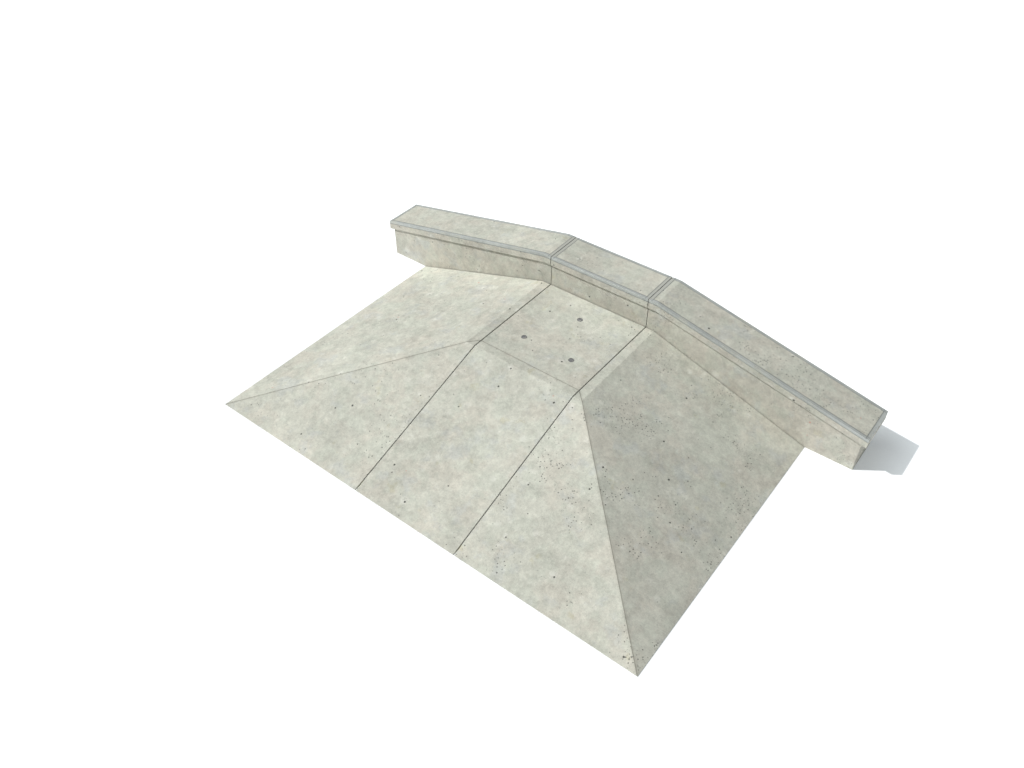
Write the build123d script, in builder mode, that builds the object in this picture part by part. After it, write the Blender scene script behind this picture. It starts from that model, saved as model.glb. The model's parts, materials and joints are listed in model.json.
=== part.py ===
"""A precast concrete skatepark obstacle: a three-part half pyramid with a kinked grind ledge behind it.

Three bank blocks stand side by side and make one flat deck with a front bank and two side banks.
Three ledge blocks stand behind them on the same joint planes. Each ledge block carries galvanised
steel angles round its top edge. Everything is in millimetres: X runs along the ledge, -Y is the
front, +Z is up, and the origin is the middle of the footprint at ground level.
"""
from build123d import *
from math import cos, radians, sin, sqrt, tan
import os

os.makedirs("parts", exist_ok=True)

# Overall layout
BANK_RUN = 1770.0          # level length of every bank, front and side
DECK_DEPTH = 1300.0        # deck, from the crease back to the ledge
LEDGE_HALF_LENGTH = 3000.0
JOINT_X = 600.0            # plane of the joints between the blocks, left and right
JOINT_GAP = 10.0
BACK_GAP = 5.0             # joint between the banks and the ledge
KINK_X = 700.0             # where the deck turns into a side bank and the ledge turns down
BODY_DEPTH = 440.0         # ledge body, front to back
CAP_OVERHANG = 20.0
FRONT_Y = -(BANK_RUN + DECK_DEPTH + BODY_DEPTH + CAP_OVERHANG) / 2

# Bank blocks
DECK_Z = 575.0
NOSE = 5.0                 # thickness of the feathered edge on the ground
WALL = 120.0               # slab and wall thickness round the foam cores
RIB = 100.0                # concrete rib between two cores
CORE_NOSE = 100.0          # height of a core at its thin front
SCORE_RADIUS = 2.5         # half-round score line along the hips and over the deck
SCORE_SETBACK = 100.0      # score line behind the crease
ARRIS = 3.0                # small chamfer on exposed joint edges

# Ledge blocks
LEDGE_Z = 940.0
LEDGE_SLOPE = 12.0
CAP_THICKNESS = 105.0
END_OVERHANG = 45.0

# Galvanised edge angles and their studs
ANGLE_LEG = 30.0
ANGLE_THICKNESS = 4.0
ANGLE_RELIEF = 3.0         # groove left in the concrete beside each leg
MITRE = 45.0               # how far in the corner mitres are cut
STUD_RADIUS = 4.0
STUD_LENGTH = 60.0
STUD_HEAD_RADIUS = 8.0
STUD_HEAD = 5.0
STUD_DEPTH = 17.0          # below the top of the cap
STUD_INSET = 120.0         # first stud from the end of a block
SIDE_STUDS = 8             # along one edge
CENTRE_STUDS = 4

# Reinforcement
MESH_RADIUS = 5.0
MESH_COVER = 50.0          # from the surface to the first layer's centre line
LAYER_STEP = 10.5          # from one layer's centre line to the next
MESH_EDGE_GAP = 280.0      # bars stop short of a feathered edge, where the bank is too thin
MESH_CREASE_GAP = 25.0
MESH_HIP_GAP = 110.0
CENTRE_BARS_X = (-530, -370, -110, 110, 370, 530)
SIDE_BARS_X = (655, 900, 1150, 1400, 1650, 1900)
SIDE_BANK_BARS = range(500, 3000, 300)         # in from the front edge
BANK_CROSS_BARS = (320, 620, 920, 1220, 1520)  # in from the edge that a bank feathers out to
DECK_CROSS_BARS = (40, 290, 570, 850, 1130)    # behind the crease
CAGE_RADIUS = 6.0
STIRRUP_RADIUS = 4.0
CAGE_COVER = 60.0
STIRRUP_SETBACK = 20.0     # first stirrup from the end of the long bars
SIDE_STIRRUPS = 9
CENTRE_STIRRUPS = 5

# Deck sockets and plugs
SOCKET_FRONT = (290.0, 410.0)   # sideways, and behind the crease
SOCKET_REAR_Y = 985.0           # behind the crease
PLUG_RADIUS = 29.0
PLUG_THICKNESS = 10.0
PLUG_CLEARANCE = 2.0
SOCKET_RADIUS = 20.0
SOCKET_BORE_RADIUS = 12.0
SOCKET_LENGTH = 78.0
SOCKET_PLATE = (40.0, 100.0, 8.0)
PLUG_CHAMFER = 1.0
PRY_SLOT = (26.0, 4.0, 2.5)

# Dowels and seals
DOWEL_RADIUS = 10.0
DOWEL_LENGTH = 300.0
DOWEL_DEPTH = 88.0
BANK_DOWEL_IN = 900.0      # in from the front edge
DECK_DOWEL_FRONT = 180.0   # behind the crease
DECK_DOWEL_REAR = 215.0    # in front of the back of the deck
LEDGE_DOWELS_Z = (250.0, 650.0)
SLEEVE_RADIUS = 12.5
SLEEVE_BORE_RADIUS = 10.2
SLEEVE_EXTRA = 10.0
SEAL_RECESS = 8.0
SEAL_DEPTH = 20.0
SEAL_START = 120.0         # from the front edge, where the bank is thick enough to hold a seal

# Places that follow from the sizes above
CREASE_Y = FRONT_Y + BANK_RUN
LEDGE_Y = CREASE_Y + DECK_DEPTH
BANK_REAR_Y = LEDGE_Y - BACK_GAP
CAP_FRONT_Y = LEDGE_Y - CAP_OVERHANG
CAP_REAR_Y = LEDGE_Y + BODY_DEPTH + CAP_OVERHANG
LEDGE_MID_Y = LEDGE_Y + BODY_DEPTH / 2
CENTRE_END_X = JOINT_X - JOINT_GAP / 2
SIDE_START_X = JOINT_X + JOINT_GAP / 2
BANK_END_X = KINK_X + BANK_RUN
BANK_RISE = (DECK_Z - NOSE) / BANK_RUN
BANK_TILT = sqrt(1 + BANK_RISE**2)   # vertical depth of one unit measured square to a bank
LEDGE_FALL = tan(radians(LEDGE_SLOPE))
MIRROR_X = Plane.YZ
MIRROR_LEDGE = Plane.XZ.offset(-LEDGE_MID_Y)


def bank_z(inward):
    """Height of a bank's surface at a distance inward from its edge on the ground."""
    return NOSE + BANK_RISE * inward


def ledge_z(x):
    """Height of the ledge's top at a place along it."""
    return LEDGE_Z - LEDGE_FALL * max(0.0, abs(x) - KINK_X)


def save(piece, name):
    """Label a finished piece and write its file."""
    piece.label = name
    export_step(piece, f"parts/{name}.step")


def save_mirrored(piece, name):
    """Write a piece of the right-hand side and its mirror image on the left."""
    save(piece, f"{name}_right")
    save(mirror(piece, about=MIRROR_X), f"{name}_left")


def bar(start, end, radius, mode=Mode.ADD):
    """Put one straight round bar between two points into the open part."""
    axis = Vector(*end) - Vector(*start)
    with BuildSketch(Plane(origin=start, z_dir=axis)) as section:
        Circle(radius)
    extrude(section.sketch, amount=axis.length, mode=mode)


def prism_along_x(points, x_start, x_end, mode=Mode.ADD):
    """Extrude a (y, z) outline from one x to another."""
    with BuildSketch(Plane.YZ.offset(x_start)) as outline:
        Polygon(*points, align=None)
    extrude(outline.sketch, amount=x_end - x_start, mode=mode)


def prism_along_y(points, y_start, y_end, mode=Mode.ADD):
    """Extrude an (x, z) outline from one y to another."""
    with BuildSketch(Plane.XZ.offset(-y_start)) as outline:
        Polygon(*points, align=None)
    extrude(outline.sketch, amount=y_start - y_end, mode=mode)


def remove(*pieces):
    """Cut finished pieces out of the open part, so that they are cast in."""
    for piece in pieces:
        add(piece, mode=Mode.SUBTRACT)


# ---------------------------------------------------------------- steel edge angles
def mitre_trim(corners):
    """Keep what lies over a plan outline."""
    with BuildSketch(Plane.XY) as outline:
        Polygon(*corners, align=None)
    extrude(outline.sketch, amount=2 * LEDGE_Z, mode=Mode.INTERSECT)


def long_angle(x_start, x_end, leg, rounded):
    """An angle along the front top edge of a ledge block, mitred at both ends."""
    overrun = 2 * ANGLE_LEG
    path_points = [(x_start - overrun, CAP_FRONT_Y, LEDGE_Z)]
    if x_end > KINK_X:
        path_points.append((KINK_X, CAP_FRONT_Y, LEDGE_Z))
    path_points.append((x_end + overrun, CAP_FRONT_Y, ledge_z(x_end + overrun)))
    with BuildPart() as angle:
        with BuildLine() as path:
            Polyline(*path_points)
        with BuildSketch(Plane(origin=path_points[0], x_dir=(0, 1, 0), z_dir=(1, 0, 0))) as section:
            Polygon(
                (0, 0), (leg, 0), (leg, -ANGLE_THICKNESS), (ANGLE_THICKNESS, -ANGLE_THICKNESS),
                (ANGLE_THICKNESS, -leg), (0, -leg), align=None)
            if rounded:
                fillet(section.vertices().sort_by_distance(path_points[0])[0], ANGLE_THICKNESS / 2)
        sweep(path=path.wire(), transition=Transition.RIGHT)
        mitre_trim([
            (x_start, CAP_FRONT_Y), (x_end, CAP_FRONT_Y),
            (x_end - MITRE, CAP_FRONT_Y + MITRE), (x_start + MITRE, CAP_FRONT_Y + MITRE)])
    return angle.part


def end_angle(x_end, slope, leg, rounded):
    """An angle across the end of a ledge block that looks towards +X, mitred at both ends."""
    top = ledge_z(x_end)
    inward = Vector(-cos(radians(slope)), sin(radians(slope)))
    down = Vector(-sin(radians(slope)), -cos(radians(slope))) * ANGLE_THICKNESS
    reach = (-ANGLE_THICKNESS - down.X) / inward.X
    corners = [
        Vector(0, 0), inward * leg, inward * leg + down, inward * reach + down,
        Vector(-ANGLE_THICKNESS, -leg), Vector(0, -leg)]
    with BuildPart() as angle:
        with BuildSketch(Plane.XZ.offset(-CAP_REAR_Y)) as section:
            Polygon(*[(x_end + corner.X, top + corner.Y) for corner in corners], align=None)
            if rounded:
                heel = (x_end, CAP_REAR_Y, top)
                fillet(section.vertices().sort_by_distance(heel)[0], ANGLE_THICKNESS / 2)
        extrude(amount=CAP_REAR_Y - CAP_FRONT_Y)
        mitre_trim([
            (x_end, CAP_FRONT_Y), (x_end, CAP_REAR_Y),
            (x_end - MITRE, CAP_REAR_Y - MITRE), (x_end - MITRE, CAP_FRONT_Y + MITRE)])
    return angle.part


def side_angle_set(leg, rounded):
    """The four angles of the right ledge block: front, rear, outer end and joint end."""
    front = long_angle(SIDE_START_X, LEDGE_HALF_LENGTH, leg, rounded)
    rear = mirror(front, about=MIRROR_LEDGE)
    outer = end_angle(LEDGE_HALF_LENGTH, LEDGE_SLOPE, leg, rounded)
    joint = mirror(end_angle(SIDE_START_X, 0, leg, rounded), about=Plane.YZ.offset(SIDE_START_X))
    return [front, rear, outer, joint]


def centre_angle_set(leg, rounded):
    """The four angles of the centre ledge block: front, rear, right end and left end."""
    front = long_angle(-CENTRE_END_X, CENTRE_END_X, leg, rounded)
    rear = mirror(front, about=MIRROR_LEDGE)
    right = end_angle(CENTRE_END_X, 0, leg, rounded)
    return [front, rear, right, mirror(right, about=MIRROR_X)]


# The angles have rounded heels. The pockets that they lie in are square and a little wider.
side_angles = side_angle_set(ANGLE_LEG, True)
side_pockets = side_angle_set(ANGLE_LEG + ANGLE_RELIEF, False)
centre_angles = centre_angle_set(ANGLE_LEG, True)
centre_pockets = centre_angle_set(ANGLE_LEG + ANGLE_RELIEF, False)
side_angle_names = ["front_edge_angle", "rear_edge_angle", "outer_end_angle", "joint_end_angle"]
centre_angle_names = [
    "front_edge_angle_centre", "rear_edge_angle_centre",
    "joint_end_angle_centre_right", "joint_end_angle_centre_left"]
for name, angle in zip(side_angle_names, side_angles):
    save_mirrored(angle, name)
for name, angle in zip(centre_angle_names, centre_angles):
    save(angle, name)


def stud(foot, direction):
    """Put a headed stud, welded to an angle by its foot, into the open part."""
    foot = Vector(*foot)
    direction = Vector(*direction)
    tip = foot + direction * STUD_LENGTH
    bar(foot, tip, STUD_RADIUS)
    bar(tip - direction * STUD_HEAD, tip, STUD_HEAD_RADIUS)


def edge_studs(x_start, x_end, count, end_xs):
    """All the studs of one ledge block, along both long edges and across its ends."""
    spacing = (x_end - x_start - 2 * STUD_INSET) / (count - 1)
    with BuildPart() as studs:
        for index in range(count):
            x = x_start + STUD_INSET + index * spacing
            z = ledge_z(x) - STUD_DEPTH
            stud((x, CAP_FRONT_Y + ANGLE_THICKNESS, z), (0, 1, 0))
            stud((x, CAP_REAR_Y - ANGLE_THICKNESS, z), (0, -1, 0))
        for x, inward in end_xs:
            for y in (LEDGE_MID_Y - STUD_INSET, LEDGE_MID_Y + STUD_INSET):
                foot_x = x + inward * ANGLE_THICKNESS
                stud((foot_x, y, ledge_z(x) - STUD_DEPTH), (inward, 0, 0))
    return studs.part


side_studs = edge_studs(
    SIDE_START_X, LEDGE_HALF_LENGTH, SIDE_STUDS, [(SIDE_START_X, 1), (LEDGE_HALF_LENGTH, -1)])
centre_studs = edge_studs(
    -CENTRE_END_X, CENTRE_END_X, CENTRE_STUDS, [(-CENTRE_END_X, 1), (CENTRE_END_X, -1)])
save_mirrored(side_studs, "edge_studs")
save(centre_studs, "edge_studs_centre")


# ---------------------------------------------------------------- reinforcement
def bank_bar(place, near, far):
    """Put one bar that climbs a bank, between two distances in from its edge, into the open part.

    place turns a distance in from the edge into a point (x, y).
    """
    cover = MESH_COVER * BANK_TILT
    bar((*place(near), bank_z(near) - cover), (*place(far), bank_z(far) - cover), MESH_RADIUS)


def level_bar(start, end, surface_z, depth):
    """Put one level bar between two points (x, y) into the open part, at a depth under a surface."""
    bar((*start, surface_z - depth), (*end, surface_z - depth), MESH_RADIUS)


def centre_mesh_part():
    """Two crossing layers of bars under the centre block's bank and deck."""
    end_x = CENTRE_END_X - MESH_COVER
    deck_rear = BANK_REAR_Y - MESH_COVER
    with BuildPart() as mesh:
        for x in CENTRE_BARS_X:
            bank_bar(lambda inward: (x, FRONT_Y + inward), MESH_EDGE_GAP, BANK_RUN - MESH_CREASE_GAP)
            level_bar((x, CREASE_Y + 2 * MESH_RADIUS), (x, deck_rear), DECK_Z, MESH_COVER)
        for inward in BANK_CROSS_BARS:
            y = FRONT_Y + inward
            level_bar((-end_x, y), (end_x, y), bank_z(inward), (MESH_COVER + LAYER_STEP) * BANK_TILT)
        for behind in DECK_CROSS_BARS:
            y = CREASE_Y + behind
            level_bar((-end_x, y), (end_x, y), DECK_Z, MESH_COVER + LAYER_STEP)
    return mesh.part


def side_mesh_part():
    """Flat mats of crossing bars under the right block's front bank and side bank."""
    start_x = SIDE_START_X + MESH_COVER
    lower_layer = (MESH_COVER + LAYER_STEP) * BANK_TILT
    side_rear = BANK_REAR_Y - MESH_COVER
    with BuildPart() as mesh:
        for x in SIDE_BARS_X:
            far = min(BANK_RUN - MESH_CREASE_GAP, BANK_END_X - x - MESH_HIP_GAP)
            bank_bar(lambda inward: (x, FRONT_Y + inward), MESH_EDGE_GAP, far)
        for y_in in SIDE_BANK_BARS:
            far = min(BANK_RUN - MESH_CREASE_GAP, y_in - MESH_HIP_GAP)
            bank_bar(lambda inward: (BANK_END_X - inward, FRONT_Y + y_in), MESH_EDGE_GAP, far)
        for inward in BANK_CROSS_BARS:
            y = FRONT_Y + inward
            x = BANK_END_X - inward
            level_bar((start_x, y), (x - MESH_HIP_GAP, y), bank_z(inward), lower_layer)
            level_bar((x, y + MESH_HIP_GAP), (x, side_rear), bank_z(inward), lower_layer)
    return mesh.part


def stirrup(x):
    """Put one closed stirrup of a ledge cage into the open part."""
    outside = CAGE_COVER - LAYER_STEP
    low, high = outside, ledge_z(x) - outside
    front, back = LEDGE_Y + outside, LEDGE_Y + BODY_DEPTH - outside
    corners = [(x, front, low), (x, back, low), (x, back, high), (x, front, high)]
    with BuildLine() as loop:
        FilletPolyline(*corners, radius=LAYER_STEP, close=True)
    with BuildSketch(Plane(origin=(x, LEDGE_MID_Y, low), z_dir=(0, 1, 0))) as section:
        Circle(STIRRUP_RADIUS)
    sweep(section.sketch, path=loop.wire())


def ledge_cage_part(x_start, x_end, count):
    """Four long bars and the stirrups round them, for one ledge block."""
    bar_start = x_start + CAGE_COVER
    bar_end = x_end - CAGE_COVER
    top_start = KINK_X + CAGE_COVER if x_end > KINK_X else bar_start
    spacing = (bar_end - bar_start - 2 * STIRRUP_SETBACK) / (count - 1)
    with BuildPart() as cage:
        for y in (LEDGE_Y + CAGE_COVER, LEDGE_Y + BODY_DEPTH - CAGE_COVER):
            bar((bar_start, y, CAGE_COVER), (bar_end, y, CAGE_COVER), CAGE_RADIUS)
            bar((top_start, y, ledge_z(top_start) - CAGE_COVER),
                (bar_end, y, ledge_z(bar_end) - CAGE_COVER), CAGE_RADIUS)
        for index in range(count):
            stirrup(bar_start + STIRRUP_SETBACK + index * spacing)
    return cage.part


centre_mesh = centre_mesh_part()
side_mesh = side_mesh_part()
centre_cage = ledge_cage_part(-CENTRE_END_X, CENTRE_END_X, CENTRE_STIRRUPS)
side_cage = ledge_cage_part(SIDE_START_X, LEDGE_HALF_LENGTH - END_OVERHANG, SIDE_STIRRUPS)
save(centre_mesh, "bank_mesh_centre")
save_mirrored(side_mesh, "bank_mesh")
save(centre_cage, "ledge_cage_centre")
save_mirrored(side_cage, "ledge_cage")

# ---------------------------------------------------------------- dowels across the joints
dowel_places = [
    (FRONT_Y + BANK_DOWEL_IN, bank_z(BANK_DOWEL_IN) - DOWEL_DEPTH),
    (CREASE_Y + DECK_DOWEL_FRONT, DECK_Z - DOWEL_DEPTH),
    (BANK_REAR_Y - DECK_DOWEL_REAR, DECK_Z - DOWEL_DEPTH),
    *((LEDGE_MID_Y, z) for z in LEDGE_DOWELS_Z)]
sleeve_end_x = JOINT_X + DOWEL_LENGTH / 2 + SLEEVE_EXTRA
with BuildPart() as dowels:
    for y, z in dowel_places:
        bar((JOINT_X - DOWEL_LENGTH / 2, y, z), (JOINT_X + DOWEL_LENGTH / 2, y, z), DOWEL_RADIUS)
with BuildPart() as sleeve_rods:
    for y, z in dowel_places:
        bar((SIDE_START_X, y, z), (sleeve_end_x, y, z), SLEEVE_RADIUS)
with BuildPart() as sleeves:
    add(sleeve_rods.part)
    for y, z in dowel_places:
        bar((SIDE_START_X, y, z), (sleeve_end_x, y, z), SLEEVE_BORE_RADIUS, mode=Mode.SUBTRACT)
save_mirrored(dowels.part, "joint_dowels")
save_mirrored(sleeves.part, "dowel_sleeves")

# ---------------------------------------------------------------- deck sockets and plugs
socket_places = {
    "left": (-SOCKET_FRONT[0], CREASE_Y + SOCKET_FRONT[1]),
    "right": (SOCKET_FRONT[0], CREASE_Y + SOCKET_FRONT[1]),
    "rear": (0, CREASE_Y + SOCKET_REAR_Y),
}
recess_z = DECK_Z - PLUG_THICKNESS
with BuildPart() as sockets:
    for x, y in socket_places.values():
        with BuildSketch(Plane.XY.offset(recess_z)):
            with Locations((x, y)):
                Circle(SOCKET_RADIUS)
                Circle(SOCKET_BORE_RADIUS, mode=Mode.SUBTRACT)
        extrude(amount=-SOCKET_LENGTH)
        with BuildSketch(Plane.XY.offset(recess_z - SOCKET_LENGTH)):
            with Locations((x, y)):
                Rectangle(SOCKET_PLATE[0], SOCKET_PLATE[1])
        extrude(amount=-SOCKET_PLATE[2])
save(sockets.part, "deck_lifting_sockets")

with BuildPart() as socket_voids:
    for x, y in socket_places.values():
        with BuildSketch(Plane.XY.offset(DECK_Z)):
            with Locations((x, y)):
                Circle(PLUG_RADIUS + PLUG_CLEARANCE)
        extrude(amount=-PLUG_THICKNESS)
        with BuildSketch(Plane.XY.offset(recess_z)):
            with Locations((x, y)):
                Circle(SOCKET_RADIUS)
        extrude(amount=-SOCKET_LENGTH)

for side, (x, y) in socket_places.items():
    with BuildPart() as plug:
        with BuildSketch(Plane.XY.offset(recess_z)):
            with Locations((x, y)):
                Circle(PLUG_RADIUS)
        extrude(amount=PLUG_THICKNESS)
        chamfer(plug.faces().sort_by(Axis.Z)[-1].edges(), PLUG_CHAMFER)
        with BuildSketch(Plane.XY.offset(DECK_Z)):
            with Locations((x, y)):
                Rectangle(PRY_SLOT[0], PRY_SLOT[1])
        extrude(amount=-PRY_SLOT[2], mode=Mode.SUBTRACT)
    save(plug.part, f"deck_plug_{side}")

# ---------------------------------------------------------------- foam cores
core_front = (CORE_NOSE + WALL * BANK_TILT - NOSE) / BANK_RISE
core_crease = (DECK_Z - WALL + WALL * BANK_TILT - NOSE) / BANK_RISE
core_top = DECK_Z - WALL
core_profile = [
    (FRONT_Y + core_front, 0), (FRONT_Y + core_front, CORE_NOSE), (FRONT_Y + core_crease, core_top),
    (BANK_REAR_Y - WALL, core_top), (BANK_REAR_Y - WALL, 0)]
with BuildPart() as centre_cores:
    prism_along_x(core_profile, RIB / 2, CENTRE_END_X - WALL)
    mirror(about=MIRROR_X)
with BuildPart() as side_cores:
    prism_along_x(core_profile, SIDE_START_X + WALL, BANK_END_X - core_front)
    prism_along_y([
        (SIDE_START_X + WALL, 0), (SIDE_START_X + WALL, core_top), (BANK_END_X - core_crease, core_top),
        (BANK_END_X - core_front, CORE_NOSE), (BANK_END_X - core_front, 0)],
        FRONT_Y, BANK_REAR_Y, mode=Mode.INTERSECT)
    rib_front, rib_rear = CREASE_Y - RIB / 2, CREASE_Y + RIB / 2
    prism_along_x(
        [(rib_front, 0), (rib_rear, 0), (rib_rear, DECK_Z), (rib_front, DECK_Z)],
        SIDE_START_X, BANK_END_X, mode=Mode.SUBTRACT)
save(centre_cores.part, "void_cores_centre")
save_mirrored(side_cores.part, "void_cores")

# ---------------------------------------------------------------- bank blocks
bank_profile = [(FRONT_Y, 0), (FRONT_Y, NOSE), (CREASE_Y, DECK_Z), (BANK_REAR_Y, DECK_Z), (BANK_REAR_Y, 0)]
score_y = CREASE_Y + SCORE_SETBACK


def break_joint_arris(block, x):
    """Chamfer the exposed long edges of a bank block on one joint face."""
    face = block.faces().filter_by(Axis.X).sort_by(lambda f: abs(f.center().X - x))[0]
    chamfer(face.edges().filter_by(lambda e: e.center().Z > DECK_Z / 4 and e.length > DECK_Z), ARRIS)


with BuildPart() as bank_centre:
    prism_along_x(bank_profile, -CENTRE_END_X, CENTRE_END_X)
    break_joint_arris(bank_centre, CENTRE_END_X)
    break_joint_arris(bank_centre, -CENTRE_END_X)
    bar((-JOINT_X, score_y, DECK_Z), (JOINT_X, score_y, DECK_Z), SCORE_RADIUS, mode=Mode.SUBTRACT)
    remove(
        centre_cores.part, centre_mesh, sockets.part, socket_voids.part,
        dowels.part, mirror(dowels.part, about=MIRROR_X))
save(bank_centre.part, "bank_block_centre")

with BuildPart() as bank_side:
    prism_along_x(bank_profile, SIDE_START_X, BANK_END_X)
    prism_along_y([
        (SIDE_START_X, 0), (SIDE_START_X, DECK_Z), (KINK_X, DECK_Z), (BANK_END_X, NOSE), (BANK_END_X, 0)],
        FRONT_Y, BANK_REAR_Y, mode=Mode.INTERSECT)
    break_joint_arris(bank_side, SIDE_START_X)
    bar((BANK_END_X, FRONT_Y, NOSE), (KINK_X, CREASE_Y, DECK_Z), SCORE_RADIUS, mode=Mode.SUBTRACT)
    bar((KINK_X, CREASE_Y, DECK_Z), (JOINT_X, score_y, DECK_Z), SCORE_RADIUS, mode=Mode.SUBTRACT)
    remove(side_cores.part, side_mesh, sleeve_rods.part)
save_mirrored(bank_side.part, "bank_block")


# ---------------------------------------------------------------- ledge blocks
def ledge_block(x_start, x_end, body_end):
    """Cap and body of one ledge block, before the steel is let in."""
    kink = [(KINK_X, LEDGE_Z)] if x_end > KINK_X else []
    under = CAP_THICKNESS
    top = [(x_start, ledge_z(x_start))] + kink + [(x_end, ledge_z(x_end))]
    bottom = [(x, z - under) for x, z in reversed(top)]
    body_top = [(x_start, LEDGE_Z - under)] + [(x, z - under) for x, z in kink]
    body_top.append((body_end, ledge_z(body_end) - under))
    with BuildPart() as block:
        prism_along_y(top + bottom, CAP_FRONT_Y, CAP_REAR_Y)
        prism_along_y([(x_start, 0)] + body_top + [(body_end, 0)], LEDGE_Y, LEDGE_Y + BODY_DEPTH)
    return block.part


with BuildPart() as ledge_centre:
    add(ledge_block(-CENTRE_END_X, CENTRE_END_X, CENTRE_END_X))
    remove(*centre_pockets, centre_studs, centre_cage, dowels.part, mirror(dowels.part, about=MIRROR_X))
save(ledge_centre.part, "ledge_block_centre")

with BuildPart() as ledge_side:
    add(ledge_block(SIDE_START_X, LEDGE_HALF_LENGTH, LEDGE_HALF_LENGTH - END_OVERHANG))
    outer_corner = ledge_side.edges().filter_by(Axis.Z).filter_by(
        lambda e: abs(e.center().X - (LEDGE_HALF_LENGTH - END_OVERHANG)) < 1)
    chamfer(outer_corner, 2 * ARRIS)
    remove(*side_pockets, side_studs, side_cage, sleeve_rods.part)
save_mirrored(ledge_side.part, "ledge_block")

# ---------------------------------------------------------------- seals in the joints
with BuildPart() as bank_seal:
    seal_top = [
        (FRONT_Y + SEAL_START, bank_z(SEAL_START) - SEAL_RECESS),
        (CREASE_Y, DECK_Z - SEAL_RECESS), (BANK_REAR_Y, DECK_Z - SEAL_RECESS)]
    seal_bottom = [(y, z - SEAL_DEPTH) for y, z in reversed(seal_top)]
    prism_along_x(seal_top + seal_bottom, CENTRE_END_X, SIDE_START_X)
save_mirrored(bank_seal.part, "bank_joint_seal")

cap_under = LEDGE_Z - CAP_THICKNESS
ledge_section = [
    (LEDGE_Y, 0), (LEDGE_Y, cap_under), (CAP_FRONT_Y, cap_under), (CAP_FRONT_Y, LEDGE_Z),
    (CAP_REAR_Y, LEDGE_Z), (CAP_REAR_Y, cap_under),
    (LEDGE_Y + BODY_DEPTH, cap_under), (LEDGE_Y + BODY_DEPTH, 0)]
with BuildPart() as ledge_seal:
    with BuildSketch(Plane.YZ.offset(CENTRE_END_X)):
        with BuildSketch(mode=Mode.PRIVATE) as outline:
            Polygon(*ledge_section, align=None)
        offset(outline.sketch, amount=-SEAL_RECESS, kind=Kind.INTERSECTION)
        offset(outline.sketch, amount=-SEAL_RECESS - SEAL_DEPTH, kind=Kind.INTERSECTION, mode=Mode.SUBTRACT)
    extrude(amount=JOINT_GAP)
save_mirrored(ledge_seal.part, "ledge_joint_seal")

back_seal_end = BANK_END_X - SEAL_START
seal_high = DECK_Z - SEAL_RECESS
seal_low = seal_high - SEAL_DEPTH
with BuildPart() as back_seal_centre:
    prism_along_y([
        (-CENTRE_END_X, seal_high), (CENTRE_END_X, seal_high),
        (CENTRE_END_X, seal_low), (-CENTRE_END_X, seal_low)],
        BANK_REAR_Y, LEDGE_Y)
save(back_seal_centre.part, "back_joint_seal_centre")
with BuildPart() as back_seal_side:
    back_top = [
        (SIDE_START_X, seal_high), (KINK_X, seal_high),
        (back_seal_end, bank_z(SEAL_START) - SEAL_RECESS)]
    prism_along_y(back_top + [(x, z - SEAL_DEPTH) for x, z in reversed(back_top)], BANK_REAR_Y, LEDGE_Y)
save_mirrored(back_seal_side.part, "back_joint_seal")
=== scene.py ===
# %% [markdown]
# # A precast concrete skatepark half pyramid with a kinked grind ledge
# Six concrete blocks, cast in moulds and set side by side, with galvanised steel angles let into
# the top edges of the ledge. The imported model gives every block, angle and plug at its real place.
# Blender adds what a caster, a welder and the weather add: the cloudy skin of the concrete, its
# air holes and stains, the zinc, the dressed welds, the tooled sealant and the moulded plugs.

# %% Load the fixed frame
import json
import math

import bmesh
import bpy
import numpy as np
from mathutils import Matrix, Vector

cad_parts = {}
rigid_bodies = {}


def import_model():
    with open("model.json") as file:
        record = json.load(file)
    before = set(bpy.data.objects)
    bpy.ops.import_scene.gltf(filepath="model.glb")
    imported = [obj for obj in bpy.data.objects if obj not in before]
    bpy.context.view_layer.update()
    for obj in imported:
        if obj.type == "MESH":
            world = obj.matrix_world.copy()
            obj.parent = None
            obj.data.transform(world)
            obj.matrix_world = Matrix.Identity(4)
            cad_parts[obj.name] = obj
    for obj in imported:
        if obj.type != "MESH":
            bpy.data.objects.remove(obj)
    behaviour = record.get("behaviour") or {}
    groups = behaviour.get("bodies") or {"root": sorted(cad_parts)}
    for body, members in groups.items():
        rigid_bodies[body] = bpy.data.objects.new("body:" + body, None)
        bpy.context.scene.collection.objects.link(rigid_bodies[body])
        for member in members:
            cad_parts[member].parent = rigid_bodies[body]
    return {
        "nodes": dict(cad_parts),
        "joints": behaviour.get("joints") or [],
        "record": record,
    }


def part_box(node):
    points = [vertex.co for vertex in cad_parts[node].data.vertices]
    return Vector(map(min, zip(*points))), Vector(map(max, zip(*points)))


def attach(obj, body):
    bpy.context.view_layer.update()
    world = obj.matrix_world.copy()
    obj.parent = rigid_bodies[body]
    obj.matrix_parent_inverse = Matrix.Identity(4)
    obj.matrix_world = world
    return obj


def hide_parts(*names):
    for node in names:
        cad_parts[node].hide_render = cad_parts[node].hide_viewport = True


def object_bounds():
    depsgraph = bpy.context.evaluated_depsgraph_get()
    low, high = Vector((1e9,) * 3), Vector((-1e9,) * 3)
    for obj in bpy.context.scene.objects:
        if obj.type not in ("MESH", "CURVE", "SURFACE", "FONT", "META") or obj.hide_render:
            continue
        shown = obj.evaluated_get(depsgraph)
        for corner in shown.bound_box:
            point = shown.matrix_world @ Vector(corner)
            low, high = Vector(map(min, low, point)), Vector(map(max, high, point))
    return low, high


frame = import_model()
cad_low, cad_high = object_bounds()
centre = (cad_low + cad_high) / 2
size = cad_high - cad_low
print("size", [round(v, 3) for v in size])

# %% [markdown]
# ## Places read from the frame
# A node's box says where its piece lies. The joints between the blocks, the crease at the front of
# the deck and the kinks in the ledge all follow from a few of those boxes, so they move with the
# model when it changes. A few plain sizes, such as the steel's leg and the cap's thickness, are
# typed in.

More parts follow.
